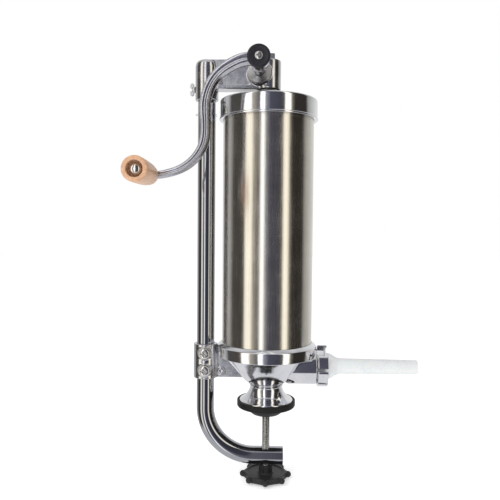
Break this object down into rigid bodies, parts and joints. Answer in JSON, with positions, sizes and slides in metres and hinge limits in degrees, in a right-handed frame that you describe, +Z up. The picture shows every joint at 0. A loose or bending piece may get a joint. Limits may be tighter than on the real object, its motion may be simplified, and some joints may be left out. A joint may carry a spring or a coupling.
{
  "type": "sausage stuffer",
  "caption": "Clamp-on vertical sausage stuffer: steel cylinder on a bent tube, crank-driven rack and piston above, side nozzle and table clamp below.",
  "frame": {"origin": "on the cylinder's axis, at the underside of the rubber foot ring, where the foot stands on the table top", "axes": "+Z up along the cylinder, +X towards the outlet nozzle, -Y towards the crank"},
  "size_m": [0.335, 0.2095, 0.5315],
  "materials": {
    "chrome_tube": "mirror chrome plate over a bent steel tube",
    "brushed_cylinder": "stainless sheet, brushed lengthways",
    "cast_aluminium": "cast and polished",
    "zinc_hardware": "bright zinc plate",
    "machined_steel": "machined and oiled",
    "bronze_bush": "sintered bronze",
    "black_rubber": "matt moulded rubber",
    "black_plastic": "moulded, slightly glossy",
    "white_silicone": "food grade silicone",
    "nozzle_plastic": "milky, slightly see-through moulding",
    "grip_wood": "turned hardwood, thin lacquer"
  },
  "bodies": {
    "frame": {"frame_tube": "chrome_tube", "thread_plug": "zinc_hardware", "cylinder": "brushed_cylinder", "cylinder_seal": "white_silicone", "top_ring": "cast_aluminium", "base_casting": "cast_aluminium", "foot_ring": "black_rubber", "lower_collar_screw_1": "zinc_hardware", "lower_collar_screw_2": "zinc_hardware", "upper_collar_screw": "zinc_hardware"},
    "head": {"head_casting": "cast_aluminium", "front_bush": "bronze_bush", "rear_bush": "bronze_bush"},
    "thumb_screw": {"thumb_screw": "zinc_hardware"},
    "crank": {"crank_shaft": "machined_steel", "pinion": "machined_steel", "shaft_washer": "zinc_hardware", "shaft_nut": "zinc_hardware", "crank_arm": "cast_aluminium", "hub_cap": "black_plastic", "hub_screw": "zinc_hardware", "grip_bolt": "zinc_hardware", "grip_nut": "zinc_hardware", "grip_washer": "zinc_hardware"},
    "grip": {"grip": "grip_wood"},
    "piston": {"rack": "machined_steel", "piston_plate_lower": "cast_aluminium", "piston_seal": "white_silicone", "piston_plate_upper": "cast_aluminium", "piston_nut": "zinc_hardware", "air_valve": "black_rubber"},
    "nozzle": {"nozzle": "nozzle_plastic"},
    "outlet_nut": {"outlet_nut": "cast_aluminium"},
    "clamp_pad": {"clamp_pad": "black_plastic"},
    "clamp_screw": {"clamp_rod": "zinc_hardware", "clamp_knob": "black_plastic", "knob_nut": "zinc_hardware"}
  },
  "joints": [
    {"name": "head_lift", "type": "slide", "parent": "frame", "child": "head", "axis": [0, 0, 1], "range_m": [0, 0.04]},
    {"name": "thumb_turn", "type": "hinge", "parent": "head", "child": "thumb_screw", "pos_m": [-0.0914, 0, 0.3942], "axis": [-1, 0, 0], "range_deg": [0, 720]},
    {"name": "crank_turn", "type": "hinge", "parent": "head", "child": "crank", "pos_m": [-0.0115, 0, 0.412], "axis": [0, -1, 0], "range_deg": [0, 1985]},
    {"name": "grip_spin", "type": "hinge", "parent": "crank", "child": "grip", "pos_m": [-0.1335, -0.11, 0.2815], "axis": [0, -1, 0], "continuous": true},
    {"name": "piston_travel", "type": "slide", "parent": "head", "child": "piston", "axis": [0, 0, 1], "range_m": [0, 0.2865]},
    {"name": "nozzle_out", "type": "slide", "parent": "frame", "child": "nozzle", "axis": [1, 0, 0], "range_m": [0, 0.0061]},
    {"name": "nut_turn", "type": "hinge", "parent": "nozzle", "child": "outlet_nut", "pos_m": [0.0622, 0, 0.0512], "axis": [1, 0, 0], "range_deg": [0, 720]},
    {"name": "clamp_travel", "type": "slide", "parent": "frame", "child": "clamp_pad", "axis": [0, 0, -1], "range_m": [0, 0.04]},
    {"name": "clamp_turn", "type": "hinge", "parent": "clamp_pad", "child": "clamp_screw", "pos_m": [0, 0, -0.088], "axis": [0, 0, -1], "range_deg": [0, 9360]}
  ],
  "couplings": [
    {"joint": "piston_travel", "follows": "crank_turn", "m_per_rad": 0.00825},
    {"joint": "nozzle_out", "follows": "nut_turn", "m_per_rad": 0.00047746},
    {"joint": "clamp_travel", "follows": "clamp_turn", "m_per_rad": 0.00023873}
  ]
}
